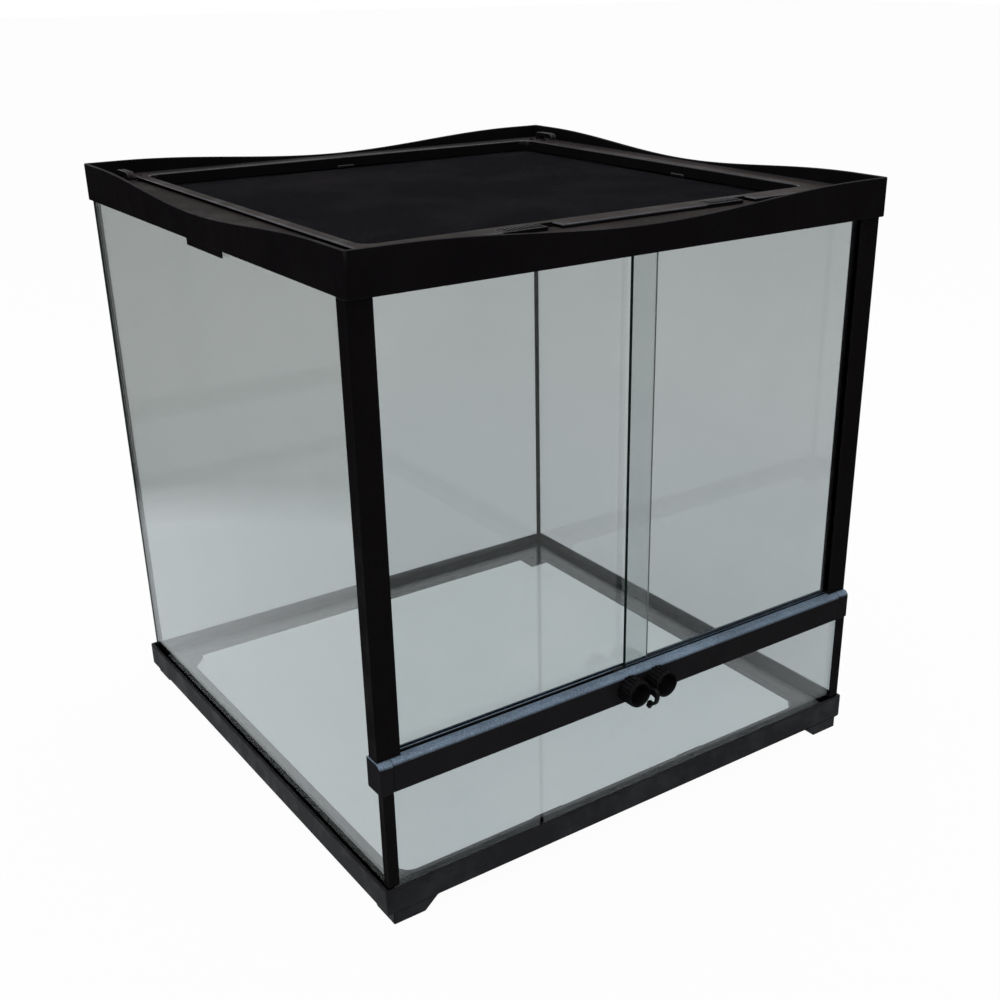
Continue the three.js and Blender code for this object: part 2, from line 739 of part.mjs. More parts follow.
// Hook that holds a lid pin down: a rear leg on the ledge and a bar that reaches forward.
function hingeHook(side) {
  const legFront = hingeY + hingePinRadius + hingeHookPlay;
  const legBack = legFront + hingeHookLeg;
  const base = topLedgeTop + gap;
  const top = base + hingeHookHeight - gap;
  const barUnder = top - hingeHookBar;
  const nose = hingeY - hingeHookReach;
  const lipEnd = top - hingeHookBar - hingeHookLip / 2;
  const shape = new THREE.Shape();
  shape.moveTo(legFront, base);
  shape.lineTo(legBack, base);
  shape.lineTo(legBack, barUnder);
  shape.quadraticCurveTo(legBack, top, legFront, top);
  shape.lineTo(nose + hingeHookLip + 2, top);
  shape.quadraticCurveTo(nose, top, nose, lipEnd);
  shape.lineTo(nose + hingeHookLip, lipEnd);
  shape.quadraticCurveTo(nose + hingeHookLip, barUnder, nose + hingeHookLip + 2, barUnder);
  shape.lineTo(legFront - 2, barUnder);
  shape.quadraticCurveTo(legFront, barUnder, legFront, barUnder - 2);
  shape.closePath();
  const near = lidHalf + hingeHookInset;
  const solid = alongX(shape, near, near + hingeHookWidth);
  return side > 0 ? solid : solid.scale([-1, 1, 1]);
}

// Lid

function lidOutline(inset, radius) {
  return shapeFrom(roundedOutline(-lidHalf + lidSideRail + inset, lidHalf - lidSideRail - inset,
    wellFront + inset, wellBack - inset, radius, cornerSteps));
}

function lidFrame() {
  const outline = roundedOutline(-lidHalf, lidHalf, lidFront, lidBack, lidCornerRadius, cornerSteps);
  const rim = upright(shapeFrom(outline), lidBottom, lidTop);
  const skirt = upright(lidOutline(-lidWellWall, wellCornerRadius + lidWellWall), wellBottom, lidTop);
  const well = upright(lidOutline(0, wellCornerRadius), wellBottom - over, lidTop + over);
  let solid = rim.add(skirt).subtract(well);
  for (const left of latchLefts) {
    const right = left + latchLength + latchTravel + latchEndRoom;
    const pocket = box(left - gap, right, lidFront - over, latchBack + gap,
      lidBottom - over, lidTop + over);
    const middle = (lidBottom + lidTop) / 2;
    const half = latchTongueThickness / 2 + tongueClearance;
    const groove = box(left - gap, right, latchBack, latchBack + latchTongue + gap,
      middle - half, middle + half);
    solid = solid.subtract(pocket).subtract(groove);
  }
  const extras = [];
  const nubZ = wellBottom + nubSize;
  for (const side of [-1, 1]) {
    const pinRoot = lidHalf - lidSideRail / 2;
    const pinEnds = [side * pinRoot, side * (lidHalf + hingePinReach)].sort((a, b) => a - b);
    extras.push(disc(hingePinRadius, pinEnds[0], pinEnds[1], 20)
      .rotate([0, 0, -90]).translate([0, hingeY, hingeZ]));
    const walls = [side * (wellX - nubSize), side * (wellX + merge)].sort((a, b) => a - b);
    extras.push(box(walls[0], walls[1], sideNubCentre - nubLength / 2, sideNubCentre + nubLength / 2,
      nubZ, nubZ + nubSize));
  }
  for (const [y0, y1] of [[wellBack - nubSize, wellBack + merge], [wellFront - merge, wellFront + nubSize]]) {
    extras.push(box(endNubCentre - nubLength / 2, endNubCentre + nubLength / 2,
      y0, y1, nubZ, nubZ + nubSize));
  }
  return solid.add(union(extras));
}

function lidMesh() {
  const reach = meshReach;
  return box(-wellX - reach, wellX + reach, wellFront - reach, wellBack + reach,
    meshTop - meshThickness, meshTop);
}

function meshRetainer() {
  const reach = meshReach;
  const inner = reach - retainerWidth;
  const ring = box(-wellX - reach, wellX + reach, wellFront - reach, wellBack + reach,
    retainerTop - retainerThickness, retainerTop);
  const opening = box(-wellX - inner, wellX + inner, wellFront - inner, wellBack + inner,
    retainerTop - retainerThickness - over, retainerTop + over);
  return ring.subtract(opening);
}

// A latch, modelled with the left end of its pad at X = 0.
function lidLatch() {
  const middle = (lidBottom + lidTop) / 2;
  const centre = latchLength / 2;
  const pieces = [
    box(0, latchLength, lidFront, latchBack, lidBottom, lidTop),
    box(over, latchLength - over, latchBack - merge, latchBack + latchTongue,
      middle - latchTongueThickness / 2, middle + latchTongueThickness / 2),
    box(centre - latchShankLength / 2, centre + latchShankLength / 2,
      latchY - latchShankWidth / 2, latchY + latchShankWidth / 2,
      topLedgeUnderside - gap - merge, lidBottom + merge),
    box(centre - latchFoot / 2, centre + latchFoot / 2, latchY - latchFoot / 2, latchY + latchFoot / 2,
      topLedgeUnderside - gap - latchFootThickness, topLedgeUnderside - gap),
  ];
  const firstRib = centre - (latchRibs - 1) / 2 * latchRibPitch;
  for (let rib = 0; rib < latchRibs; rib += 1) {
    const x = firstRib + rib * latchRibPitch;
    pieces.push(box(x - latchRibWidth / 2, x + latchRibWidth / 2,
      lidFront + latchRibInset, latchBack - latchRibInset,
      lidTop - merge, lidTop + latchRibHeight));
  }
  return union(pieces);
}

// Assembly

const cabinet = new THREE.Group();
cabinet.position.y = cabinetShiftY;

const shell = new THREE.Group();
shell.add(toMesh('base_frame', baseFrame(), plastic));
shell.add(toMesh('top_frame', topFrame(), plastic));
shell.add(toMesh('floor_glass', floorPane(), glass));
shell.add(toMesh('back_glass', backPane(), glass));
shell.add(toMesh('front_lower_glass', frontPane(), glass));
shell.add(toMesh('door_rail', doorRail(), glossPlastic));
shell.add(toMesh('upper_door_track', upperTrack(), plastic));
shell.add(toMesh('padlock_hook', padlockHook(), plastic));
shell.add(toMesh('floor_seal_back', floorSealEnd(1), silicone));
shell.add(toMesh('floor_seal_front', floorSealEnd(-1), silicone));

for (const [word, side] of [['left', -1], ['right', 1]]) {
  shell.add(toMesh(`${word}_glass`, sidePane(side), glass));
  shell.add(toMesh(`floor_seal_${word}`, floorSealSide(side), silicone));
  shell.add(toMesh(`back_${word}_seal`, cornerSeal(side), silicone));
  shell.add(toMesh(`${word}_front_post`, frontPost(side), plastic));
  shell.add(toMesh(`${word}_door_jamb`, jamb(side), plastic));
  shell.add(toMesh(`${word}_corner_strip`, cornerStrip(side), plastic));
  shell.add(toMesh(`${word}_rail_cap`, railCap(side), glossPlastic));
  shell.add(toMesh(`${word}_hinge_hook`, hingeHook(side), glossPlastic));
}
cabinet.add(shell);

const doors = new THREE.Group();
doors.add(toMesh('left_door_glass', leftDoor(), glass));
doors.add(toMesh('left_door_shoe',
  doorShoe(1, leftDoorEdge, leftShoeLength, rearDoorY, rightFingerLean), plastic));
doors.add(toMesh('right_door_glass', rightDoor(), glass));
doors.add(toMesh('right_door_shoe',
  doorShoe(-1, rightDoorEdge, rightShoeLength, frontDoorY, leftFingerLean), plastic));
cabinet.add(doors);

const locks = [['left', -1, frontDoorY, leftFingerLean], ['right', 1, rearDoorY, rightFingerLean]];
for (const [word, side, slotY, lean] of locks) {
  const lock = new THREE.Group();
  lock.position.set(side * knobX, 0, knobZ);
  lock.add(toMesh(`${word}_lock_knob`, knob(), plastic));
  lock.add(toMesh(`${word}_lock_spindle`, spindle(side, slotY, lean), plastic));
  lock.add(toMesh(`${word}_lock_screw`, lockScrew(), steel));
  cabinet.add(lock);
}

const lid = new THREE.Group();
lid.add(toMesh('lid_frame', lidFrame(), glossPlastic));
lid.add(toMesh('lid_mesh', lidMesh(), meshCloth));
lid.add(toMesh('mesh_retainer', meshRetainer(), plastic));
latchLefts.forEach((left, index) => {
  const latch = toMesh(`${['left', 'right'][index]}_lid_latch`, lidLatch(), glossPlastic);
  latch.position.x = left;
  lid.add(latch);
});
cabinet.add(lid);

export default cabinet;
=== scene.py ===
import json
import math

import bmesh
import bpy
from mathutils import Matrix, Vector, noise


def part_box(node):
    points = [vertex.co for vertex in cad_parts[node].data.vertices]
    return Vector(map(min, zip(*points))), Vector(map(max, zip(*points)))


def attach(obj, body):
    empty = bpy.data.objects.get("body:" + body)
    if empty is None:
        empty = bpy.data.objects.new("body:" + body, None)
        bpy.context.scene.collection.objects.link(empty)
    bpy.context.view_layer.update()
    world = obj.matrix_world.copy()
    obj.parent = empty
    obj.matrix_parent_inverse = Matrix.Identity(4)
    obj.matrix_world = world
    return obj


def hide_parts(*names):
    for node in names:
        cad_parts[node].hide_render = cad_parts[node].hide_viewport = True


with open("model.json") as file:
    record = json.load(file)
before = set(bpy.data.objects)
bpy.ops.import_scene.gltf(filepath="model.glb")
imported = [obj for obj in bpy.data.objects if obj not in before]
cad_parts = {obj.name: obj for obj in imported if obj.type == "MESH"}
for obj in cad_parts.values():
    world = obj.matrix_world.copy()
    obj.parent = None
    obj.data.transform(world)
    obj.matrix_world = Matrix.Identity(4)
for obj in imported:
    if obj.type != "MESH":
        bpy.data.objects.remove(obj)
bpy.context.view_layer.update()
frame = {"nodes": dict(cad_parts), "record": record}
nodes = frame["nodes"]
bodyOf = {node: body for body, group in frame["record"]["behaviour"]["bodies"].items()
          for node in group}
print("frame loaded:", len(nodes), "nodes")

# Camera, lamps, world and floor

cameraValues = {
    "place": (-0.57078, -0.892971, 0.627185),
    "azimuth": -35.619,      # degrees, 0 looks along +Y
    "elevation": 24.01,
    "roll": -0.379,
    "lens": 46.986,          # mm
    "sensor": 36,            # mm wide
    "shift": (-0.04709, 0.04848),
    "clip": (0.01, 50),      # metres
}


def makeCamera(values):
    data = bpy.data.cameras.new("camera")
    data.lens = values["lens"]
    data.sensor_width = values["sensor"]
    data.shift_x, data.shift_y = values["shift"]
    data.clip_start, data.clip_end = values["clip"]
    camera = bpy.data.objects.new("camera", data)
    turn = (Matrix.Rotation(math.radians(values["azimuth"]), 3, "Z")
            @ Matrix.Rotation(math.radians(90 - values["elevation"]), 3, "X")
            @ Matrix.Rotation(math.radians(values["roll"]), 3, "Z"))
    camera.matrix_world = Matrix.Translation(values["place"]) @ turn.to_4x4()
    bpy.context.scene.collection.objects.link(camera)
    bpy.context.scene.camera = camera


lampValues = {
    # name: (place, point it faces, width, height, watts)
    "overhead": ((0.2, 0.3, 2.6), (0, 0, 0.2), 2.4, 2.4, 34),
    "leftWindow": ((-2.6, 0.3, 1.5), (0, 0, 0.3), 1.6, 2.0, 14),
    "front": ((-0.6, -3.0, 1.6), (0, 0, 0.3), 1.6, 1.2, 6),
}


def makeLamp(name, place, target, width, height, watts):
    data = bpy.data.lights.new(name, "AREA")
    data.shape = "RECTANGLE"
    data.size, data.size_y = width, height
    data.energy = watts
    lamp = bpy.data.objects.new(name, data)
    aim = (Vector(target) - Vector(place)).to_track_quat("-Z", "Y")
    lamp.matrix_world = Matrix.Translation(place) @ aim.to_matrix().to_4x4()
    lamp.visible_camera = False
    lamp.visible_transmission = False
    bpy.context.scene.collection.objects.link(lamp)


def addNode(tree, kind, inputs=None, **settings):
    node = tree.nodes.new(kind)
    for key, value in settings.items():
        setattr(node, key, value)
    for key, value in (inputs or {}).items():
        if isinstance(value, bpy.types.NodeSocket):
            tree.links.new(value, node.inputs[key])
        else:
            node.inputs[key].default_value = value
    return node


def addMath(tree, operation, first, second=0.0, clamp=False):
    inputs = {0: first, 1: second}
    return addNode(tree, "ShaderNodeMath", inputs, operation=operation, use_clamp=clamp).outputs[0]


def addRange(tree, value, low, high, toLow=0.0, toHigh=1.0):
    inputs = {"Value": value, "From Min": low, "From Max": high, "To Min": toLow, "To Max": toHigh}
    return addNode(tree, "ShaderNodeMapRange", inputs).outputs["Result"]


def addMix(tree, share, first, second):
    node = addNode(tree, "ShaderNodeMix", {"Factor": share}, data_type="RGBA")
    for socket, value in ((node.inputs[6], first), (node.inputs[7], second)):
        if isinstance(value, bpy.types.NodeSocket):
            tree.links.new(value, socket)
        else:
            socket.default_value = value
    return node.outputs[2]


def seenRay(tree):  # 1 for camera, glossy and transmission rays
    path = addNode(tree, "ShaderNodeLightPath")
    seen = addMath(tree, "MAXIMUM", path.outputs["Is Camera Ray"], path.outputs["Is Glossy Ray"])
    return addMath(tree, "MAXIMUM", seen, path.outputs["Is Transmission Ray"])


worldValues = {
    "ambient": 0.55,         # strength for diffuse light
    "white": 1.0,            # what the camera, gloss and glass see
}


def makeWorld(values):
    world = bpy.data.worlds.new("studio")
    bpy.context.scene.world = world
    world.use_nodes = True
    tree = world.node_tree
    tree.nodes.clear()
    white = (1, 1, 1, 1)
    shown = addNode(tree, "ShaderNodeBackground", {"Color": white, "Strength": values["white"]})
    ambient = addNode(tree, "ShaderNodeBackground", {"Color": white, "Strength": values["ambient"]})
    shares = {0: seenRay(tree), 1: ambient.outputs[0], 2: shown.outputs[0]}
    mix = addNode(tree, "ShaderNodeMixShader", shares)
    addNode(tree, "ShaderNodeOutputWorld", {0: mix.outputs[0]})


floorValues = {
    "size": 40.0,
    "shade": 0.75,           # the floor's own colour
    "seenWhite": 0.965,      # share of plain white for the camera, so the shadow stays faint
    "throughWhite": 0.62,    # the same share through glass
    "glossWhite": 1.0,       # the same share in reflections
    "nearThrough": (0.94, 0.985, 1.0),
    "farThrough": (0.98, 0.99, 0.975),
    "nearGloss": (0.80, 0.85, 0.88),
    "farGloss": (0.10, 0.10, 0.105),
    "frontGloss": (0.26, 0.28, 0.29),
    "throughReach": (0.5, 1.2),    # distance from the middle over which near turns to far
    "glossReach": (0.70, 0.84),    # the same for reflections
    "frontReach": (-0.42, -0.30),  # Y over which frontGloss turns to nearGloss
    "drop": 0.0004,          # below the feet
}


def makeFloor(values):
    mesh = bpy.data.meshes.new("floor")
    half = values["size"] / 2
    corners = [(-half, -half, 0), (half, -half, 0), (half, half, 0), (-half, half, 0)]
    mesh.from_pydata(corners, [], [(0, 1, 2, 3)])
    floor = bpy.data.objects.new("floor", mesh)
    floor.location.z = -values["drop"]
    bpy.context.scene.collection.objects.link(floor)
    material = bpy.data.materials.new("floorWhite")
    material.use_nodes = True
    tree = material.node_tree
    tree.nodes.clear()
    matte = addNode(tree, "ShaderNodeBsdfDiffuse", {"Color": (values["shade"],) * 3 + (1,)})
    path = addNode(tree, "ShaderNodeLightPath")
    place = addNode(tree, "ShaderNodeTexCoord").outputs["Object"]
    distance = addNode(tree, "ShaderNodeVectorMath", {0: place}, operation="LENGTH").outputs["Value"]
    through = addMix(tree, addRange(tree, distance, *values["throughReach"]),
                     (*values["nearThrough"], 1), (*values["farThrough"], 1))
    depth = addNode(tree, "ShaderNodeSeparateXYZ", {0: place}).outputs["Y"]
    near = addMix(tree, addRange(tree, depth, *values["frontReach"]),
                  (*values["frontGloss"], 1), (*values["nearGloss"], 1))
    gloss = addMix(tree, addRange(tree, distance, *values["glossReach"]),
                   near, (*values["farGloss"], 1))
    tone = addMix(tree, path.outputs["Is Transmission Ray"], gloss, through)
    tone = addMix(tree, path.outputs["Is Camera Ray"], tone, (1, 1, 1, 1))
    glow = addNode(tree, "ShaderNodeEmission", {"Color": tone})
    share = addMath(tree, "MULTIPLY", path.outputs["Is Glossy Ray"], values["glossWhite"])
    throughRay, cameraRay = path.outputs["Is Transmission Ray"], path.outputs["Is Camera Ray"]
    share = addRange(tree, throughRay, 0.0, 1.0, share, values["throughWhite"])
    share = addRange(tree, cameraRay, 0.0, 1.0, share, values["seenWhite"])
    mix = addNode(tree, "ShaderNodeMixShader", {0: share, 1: matte.outputs[0], 2: glow.outputs[0]})
    addNode(tree, "ShaderNodeOutputMaterial", {0: mix.outputs[0]})
    mesh.materials.append(material)


makeCamera(cameraValues)
for lampName, lampSet in lampValues.items():
    makeLamp(lampName, *lampSet)
makeWorld(worldValues)
makeFloor(floorValues)
bpy.context.scene.view_settings.view_transform = "Standard"
print("camera, lamps and floor made")

# Shared effects, as node groups


def newGroup(name, inputs, outputs):
    group = bpy.data.node_groups.new(name, "ShaderNodeTree")
    for label, kind, value in inputs:
        socket = group.interface.new_socket(label, in_out="INPUT", socket_type=kind)
        socket.default_value = value
    for label, kind in outputs:
        group.interface.new_socket(label, in_out="OUTPUT", socket_type=kind)
    return group, addNode(group, "NodeGroupInput"), addNode(group, "NodeGroupOutput")


def objectPoint(tree):
    return addNode(tree, "ShaderNodeTexCoord").outputs["Object"]


def addNoise(tree, vector, scale, detail=3.0, roughness=0.55):
    inputs = {"Vector": vector, "Scale": scale, "Detail": detail, "Roughness": roughness}
    return addNode(tree, "ShaderNodeTexNoise", inputs).outputs["Fac"]


grainValues = {
    "fine": (4.0, 0.6),      # noise detail and roughness
    "slow": (22.0, 1.0),     # noise scale and detail
}


def makeGrainGroup(values):  # fine moulded texture with slow waviness, as a height
    inputs = (("Scale", "NodeSocketFloat", 3000.0), ("Waviness", "NodeSocketFloat", 0.3))
    group, start, end = newGroup("mouldGrain", inputs, (("Height", "NodeSocketFloat"),))
    point = objectPoint(group)
    fine = addNoise(group, point, start.outputs["Scale"], *values["fine"])
    slow = addNoise(group, point, *values["slow"])
    slowPart = addMath(group, "MULTIPLY", slow, start.outputs["Waviness"])
    group.links.new(addMath(group, "ADD", fine, slowPart), end.inputs["Height"])
    return group


dustAndSheenValues = {
    "upward": (0.12, 0.6),                  # the normal's Z over which the film and the painted top sheen set in
    "patches": (14.0, 5.0, 0.62),           # noise scale, detail and roughness
    "patchRange": (0.34, 0.72, 0.55, 1.0),  # noise from and to, film from and to
    "specks": (900.0, 2.0),                 # noise scale and detail
    "speckRange": (0.45, 0.8, 0.6, 1.3),
}


def makeDustAndSheenGroup(values):  # pale dust film in patches, which on upward faces is also a painted sheen
    inputs = (("Base", "NodeSocketColor", (0.01, 0.01, 0.01, 1)),
              ("DustAndSheenColour", "NodeSocketColor", (0.2, 0.2, 0.2, 1)),
              ("Amount", "NodeSocketFloat", 0.2), ("Everywhere", "NodeSocketFloat", 0.1))
    outputs = (("Colour", "NodeSocketColor"), ("Mask", "NodeSocketFloat"))
    group, start, end = newGroup("dustAndTopSheen", inputs, outputs)
    point = objectPoint(group)
    normal = addNode(group, "ShaderNodeTexCoord").outputs["Normal"]
    upward = addNode(group, "ShaderNodeSeparateXYZ", {0: normal}).outputs["Z"]
    upward = addRange(group, upward, *values["upward"])
    lies = addMath(group, "MAXIMUM", upward, start.outputs["Everywhere"])
    patches = addRange(group, addNoise(group, point, *values["patches"]), *values["patchRange"])
    specks = addRange(group, addNoise(group, point, *values["specks"]), *values["speckRange"])
    mask = addMath(group, "MULTIPLY", addMath(group, "MULTIPLY", patches, specks), lies)
    mask = addMath(group, "MULTIPLY", mask, start.outputs["Amount"], clamp=True)
    colour = addMix(group, mask, start.outputs["Base"], start.outputs["DustAndSheenColour"])
    group.links.new(colour, end.inputs["Colour"])
    group.links.new(mask, end.inputs["Mask"])
    return group


scuffValues = {
    "rubbed": (30.0, 6.0, 0.65),            # noise scale, detail and roughness
    "rubbedRange": (0.46, 0.74),
    "hairStretch": (60.0, 900.0, 900.0),    # low along X, so the hairlines run that way
    "hair": (1.0, 2.0),                     # noise scale and detail
    "hairRange": (0.66, 0.74, 0.0, 0.7),    # noise from and to, mask from and to
}


def makeScuffGroup(values):  # rubbed patches and hairline scratches along X, as a mask
    inputs = (("Amount", "NodeSocketFloat", 0.5), ("Scale", "NodeSocketFloat", 1.0))
    group, start, end = newGroup("scuffMarks", inputs, (("Mask", "NodeSocketFloat"),))
    point = objectPoint(group)
    sized = addNode(group, "ShaderNodeVectorMath", {0: point}, operation="SCALE")
    group.links.new(start.outputs["Scale"], sized.inputs["Scale"])
    rubbed = addNoise(group, sized.outputs[0], *values["rubbed"])
    rubbed = addRange(group, rubbed, *values["rubbedRange"])
    stretch = addNode(group, "ShaderNodeMapping",
                      {"Vector": sized.outputs[0], "Scale": values["hairStretch"]})
    hair = addRange(group, addNoise(group, stretch.outputs[0], *values["hair"]), *values["hairRange"])
    both = addMath(group, "MAXIMUM", rubbed, hair)
    mask = addMath(group, "MULTIPLY", both, start.outputs["Amount"], clamp=True)
    group.links.new(mask, end.inputs["Mask"])
    return group


smudgeValues = {
    "wide": (5.0, 3.0),                     # noise scale and detail
    "wideRange": (0.38, 0.68),
    "streakStretch": (18.0, 18.0, 60.0),
    "streakTurn": (0.5, 0.35, 0),           # radians
    "streaks": (1.0, 4.0),                  # noise scale and detail
    "streakRange": (0.4, 0.75),
    "streakShare": 0.5,
}


def makeSmudgeGroup(values):  # wiped haze on glass: a colour a little darker in streaks, and a mask
    inputs = (("Clean", "NodeSocketColor", (0.8, 0.8, 0.8, 1)),
              ("Hazy", "NodeSocketColor", (0.7, 0.7, 0.7, 1)),
              ("Amount", "NodeSocketFloat", 0.3))
    outputs = (("Colour", "NodeSocketColor"), ("Mask", "NodeSocketFloat"))
    group, start, end = newGroup("glassSmudges", inputs, outputs)
    point = objectPoint(group)
    wide = addRange(group, addNoise(group, point, *values["wide"]), *values["wideRange"])
    streaks = addNode(group, "ShaderNodeMapping", {
        "Vector": point, "Scale": values["streakStretch"], "Rotation": values["streakTurn"]})
    wiped = addNoise(group, streaks.outputs[0], *values["streaks"])
    wiped = addRange(group, wiped, *values["streakRange"])
    both = addMath(group, "ADD", wide, addMath(group, "MULTIPLY", wiped, values["streakShare"]))
    mask = addMath(group, "MULTIPLY", both, start.outputs["Amount"], clamp=True)
    colour = addMix(group, mask, start.outputs["Clean"], start.outputs["Hazy"])
    group.links.new(colour, end.inputs["Colour"])
    group.links.new(mask, end.inputs["Mask"])
    return group


grainGroup = makeGrainGroup(grainValues)
dustAndSheenGroup = makeDustAndSheenGroup(dustAndSheenValues)
scuffGroup = makeScuffGroup(scuffValues)
smudgeGroup = makeSmudgeGroup(smudgeValues)
print("shared effects made")

# Materials


def newMaterial(name, **fixed):
    material = bpy.data.materials.new(name)
    material.use_nodes = True
    shader = material.node_tree.nodes["Principled BSDF"]
    for key, value in fixed.items():
        shader.inputs[key].default_value = value
    return material, material.node_tree, shader


def useGroup(tree, group, inputs):
    return addNode(tree, "ShaderNodeGroup", inputs, node_tree=group)


def addBump(tree, shader, height, strength, distance):
    inputs = {"Height": height, "Strength": strength, "Distance": distance}
    bump = addNode(tree, "ShaderNodeBump", inputs)
    tree.links.new(bump.outputs[0], shader.inputs["Normal"])


plasticValues = {
    # base, dust: colours; top: dust on upward faces, which is also a painted sheen there; sides: dust
    # on all faces
    # sheen: coat in clean and in scuffed places; grain: strength of the moulded texture
    "framePlastic": {"base": (0.0034, 0.0029, 0.0036), "dustAndSheen": (0.092, 0.080, 0.078),
                     "top": 0.52, "sides": 0.045,
                     "sheen": (0.03, 0.10), "sheenRoughness": 0.30, "grain": 0.25},
    "basePlastic": {"base": (0.0033, 0.0032, 0.0040), "dustAndSheen": (0.086, 0.084, 0.108),
                    "top": 0.22, "sides": 0.10,
                    "sheen": (0.20, 0.42), "sheenRoughness": 0.30, "grain": 0.25},
    # frameEdge: a faint painted highlight line on the rounded edges
    "frameEdge": {"base": (0.004, 0.0038, 0.0045), "dustAndSheen": (0.080, 0.078, 0.088),
                  "top": 0.50, "sides": 0.07,
                  "sheen": (0.08, 0.22), "sheenRoughness": 0.25, "grain": 0.08},
    "glossPlastic": {"base": (0.0032, 0.0029, 0.0034), "dustAndSheen": (0.105, 0.092, 0.086),
                     "top": 0.50, "sides": 0.05,
                     "sheen": (0.06, 0.16), "sheenRoughness": 0.20, "grain": 0.12},
    # glossEdge: paler film, a painted highlight line on the rounded edges
    "glossEdge": {"base": (0.0045, 0.0045, 0.0055), "dustAndSheen": (0.140, 0.145, 0.165),
                  "top": 0.65, "sides": 0.09,
                  "sheen": (0.25, 0.5), "sheenRoughness": 0.15, "grain": 0.05},
    # the rail's pale blue film on upward faces is a painted highlight: the blue sheen along its
    # rounded top
    "railPlastic": {"base": (0.0102, 0.0088, 0.0092), "dustAndSheen": (0.36, 0.48, 0.63),
                    "top": 1.0, "sides": 0.012,
                    "sheen": (0.02, 0.06), "sheenRoughness": 0.30, "grain": 0.12},
    "knobPlastic": {"base": (0.0036, 0.0034, 0.0040), "dustAndSheen": (0.05, 0.05, 0.055),
                    "top": 0.25, "sides": 0.06,
                    "sheen": (0.12, 0.34), "sheenRoughness": 0.22, "grain": 0.15},
}
plasticShared = {
    "roughness": (0.4, 0.7),     # clean and dusty
    "dusty": 0.5,                # amount of dust that counts as dusty
    "grainScale": 2600.0,
    "waviness": 0.5,
    "grainDepth": 0.00006,       # metres
}


def plasticMaterial(name, values, shared):
    fixed = {"Specular IOR Level": 0.0, "Coat Roughness": values["sheenRoughness"]}
    material, tree, shader = newMaterial(name, **fixed)
    scuff = useGroup(tree, scuffGroup, {"Amount": 1.0, "Scale": 1.0})
    # base colour: dust in patches, and a painted sheen on upward faces
    dustAndSheen = useGroup(tree, dustAndSheenGroup, {
        "Base": (*values["base"], 1), "DustAndSheenColour": (*values["dustAndSheen"], 1),
        "Amount": values["top"], "Everywhere": values["sides"] / values["top"]})
    tree.links.new(dustAndSheen.outputs["Colour"], shader.inputs["Base Color"])
    sheen = addRange(tree, scuff.outputs["Mask"], 0.0, 1.0, *values["sheen"])
    tree.links.new(sheen, shader.inputs["Coat Weight"])
    rough = addRange(tree, dustAndSheen.outputs["Mask"], 0.0, shared["dusty"], *shared["roughness"])
    tree.links.new(rough, shader.inputs["Roughness"])
    grain = useGroup(tree, grainGroup, {"Scale": shared["grainScale"],
                                        "Waviness": shared["waviness"]})
    addBump(tree, shader, grain.outputs["Height"], values["grain"], shared["grainDepth"])
    return material


glassValues = {
    # pane tint clean and hazy, share of haze; the tints differ pane by pane as painted light and
    # shade
    "wallGlass": {"clean": (0.70, 0.725, 0.715), "hazy": (0.66, 0.69, 0.68), "haze": 0.5},
    "doorGlass": {"clean": (0.772, 0.795, 0.795), "hazy": (0.728, 0.764, 0.764), "haze": 0.5},
    "backGlass": {"clean": (0.57, 0.59, 0.595), "hazy": (0.54, 0.565, 0.57), "haze": 0.5},
    "lowerGlass": {"clean": (0.74, 0.76, 0.765), "hazy": (0.70, 0.73, 0.735), "haze": 0.5},
    "floorGlass": {"clean": (0.86, 0.89, 0.89), "hazy": (0.81, 0.85, 0.855), "haze": 0.6},
}
hazeRoughness = 0.012        # where the haze is full


def glassMaterial(name, values):
    fixed = {"IOR": 1.5, "Transmission Weight": 1.0, "Metallic": 0.0}
    material, tree, shader = newMaterial(name, **fixed)
    smudge = useGroup(tree, smudgeGroup, {
        "Clean": (*values["clean"], 1), "Hazy": (*values["hazy"], 1), "Amount": values["haze"]})
    tree.links.new(smudge.outputs["Colour"], shader.inputs["Base Color"])
    rough = addRange(tree, smudge.outputs["Mask"], 0.0, 1.0, 0.0, hazeRoughness)
    tree.links.new(rough, shader.inputs["Roughness"])
    return material


glassEdgeValues = {
    # two tones of the ground edge, share of reflection; the bright kind's pale tones are a painted
    # reflection
    "darkEdge": {"colour": (0.004, 0.010, 0.008), "pale": (0.010, 0.022, 0.018), "reflect": 0.03},
    "brightEdge": {"colour": (0.30, 0.37, 0.35), "pale": (0.44, 0.52, 0.50), "reflect": 0.03},
}
glassEdgeShared = {
    "roughness": 0.3,
    "streak": (260.0, 3.0),      # noise scale and detail
    "streakRange": (0.4, 0.7),
    "grain": (1500.0, 2.0),      # noise scale and detail
    "grainStrength": 0.25,
    "grainDepth": 0.0001,        # metres
}


def glassEdgeMaterial(name, values, shared):  # ground edges, one kind dark green and one bright, a painted reflection
    fixed = {"Specular IOR Level": values["reflect"], "Roughness": shared["roughness"]}
    material, tree, shader = newMaterial(name, **fixed)
    streak = addNoise(tree, objectPoint(tree), *shared["streak"])
    colour = addMix(tree, addRange(tree, streak, *shared["streakRange"]),
                    (*values["colour"], 1), (*values["pale"], 1))
    tree.links.new(colour, shader.inputs["Base Color"])
    grain = addNoise(tree, objectPoint(tree), *shared["grain"])
    addBump(tree, shader, grain, shared["grainStrength"], shared["grainDepth"])
    return material


siliconeValues = {
    "base": (0.004, 0.004, 0.0045),
    "dustAndSheen": (0.05, 0.05, 0.05),
    "amount": 0.02,              # dust on upward faces
    "everywhere": 0.6,           # share of that on the other faces
    "reflect": 0.0,
    "wave": (160.0, 3.0),        # noise scale and detail
    "waveRange": (0.35, 0.7),
    "roughness": (0.24, 0.5),
    "waveStrength": 0.5,
    "waveDepth": 0.0006,         # metres
}


